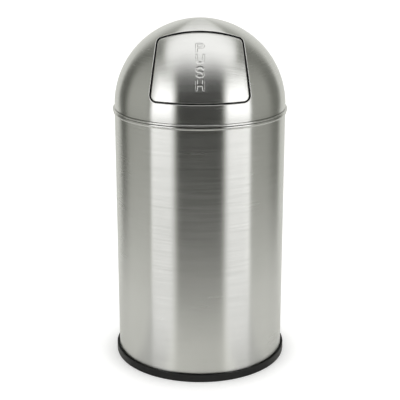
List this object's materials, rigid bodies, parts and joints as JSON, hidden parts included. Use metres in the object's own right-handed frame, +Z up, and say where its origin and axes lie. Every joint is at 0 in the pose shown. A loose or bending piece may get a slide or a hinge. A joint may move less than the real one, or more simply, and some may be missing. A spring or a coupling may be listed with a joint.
{
  "type": "dome top waste receptacle",
  "caption": "Round brushed steel waste bin with a lift-off dome, an inward-swinging push flap and a lift-out liner.",
  "frame": {"origin": "centre of the base ring's underside, on the floor", "axes": "+Z up along the body's axis, the push flap faces -Y, +X to the right as seen from the front"},
  "size_m": [0.3609, 0.361, 0.7143],
  "materials": {
    "brushed_sheet": "circumferentially brushed stainless steel",
    "plated_steel": "zinc plated steel",
    "spring_steel": "drawn spring steel",
    "galvanised_sheet": "galvanised steel with a faint spangle",
    "black_plastic": "matt black moulded plastic",
    "black_rubber": "matt black rubber"
  },
  "bodies": {
    "body": {"base_ring": "black_plastic", "bottom_plate": "brushed_sheet", "body_shell": "brushed_sheet"},
    "liner": {"liner_shell": "galvanised_sheet", "liner_base": "galvanised_sheet", "liner_ear_left": "galvanised_sheet", "liner_ear_right": "galvanised_sheet", "ear_rivets": "plated_steel"},
    "bail": {"bail_handle": "plated_steel"},
    "dome": {"dome_shell": "brushed_sheet", "dome_collar": "brushed_sheet", "rod_bracket_left": "plated_steel", "rod_bracket_right": "plated_steel", "bracket_nuts": "plated_steel", "hinge_rod": "plated_steel", "rod_caps": "spring_steel", "flap_spring_left": "spring_steel", "flap_spring_right": "spring_steel"},
    "flap": {"flap_panel": "brushed_sheet", "flap_lug_left": "plated_steel", "flap_lug_right": "plated_steel", "stop_tab_left": "plated_steel", "stop_tab_right": "plated_steel", "stop_bumper_left": "black_rubber", "stop_bumper_right": "black_rubber"}
  },
  "joints": [
    {"name": "liner_lift", "type": "slide", "parent": "body", "child": "liner", "axis": [0, 0, 1], "range_m": [0, 0.54]},
    {"name": "bail_swing", "type": "hinge", "parent": "liner", "child": "bail", "pos_m": [0, 0, 0.478], "axis": [1, 0, 0], "range_deg": [0, 210]},
    {"name": "dome_lift", "type": "slide", "parent": "liner", "child": "dome", "axis": [0, 0, 1], "range_m": [0, 0.25]},
    {"name": "flap_swing", "type": "hinge", "parent": "dome", "child": "flap", "pos_m": [0, -0.06025, 0.671], "axis": [1, 0, 0], "range_deg": [0, 60], "stiffness_Nm_per_rad": 0.12, "springref_deg": -126.05, "deforming": ["flap_spring_left", "flap_spring_right"]}
  ]
}
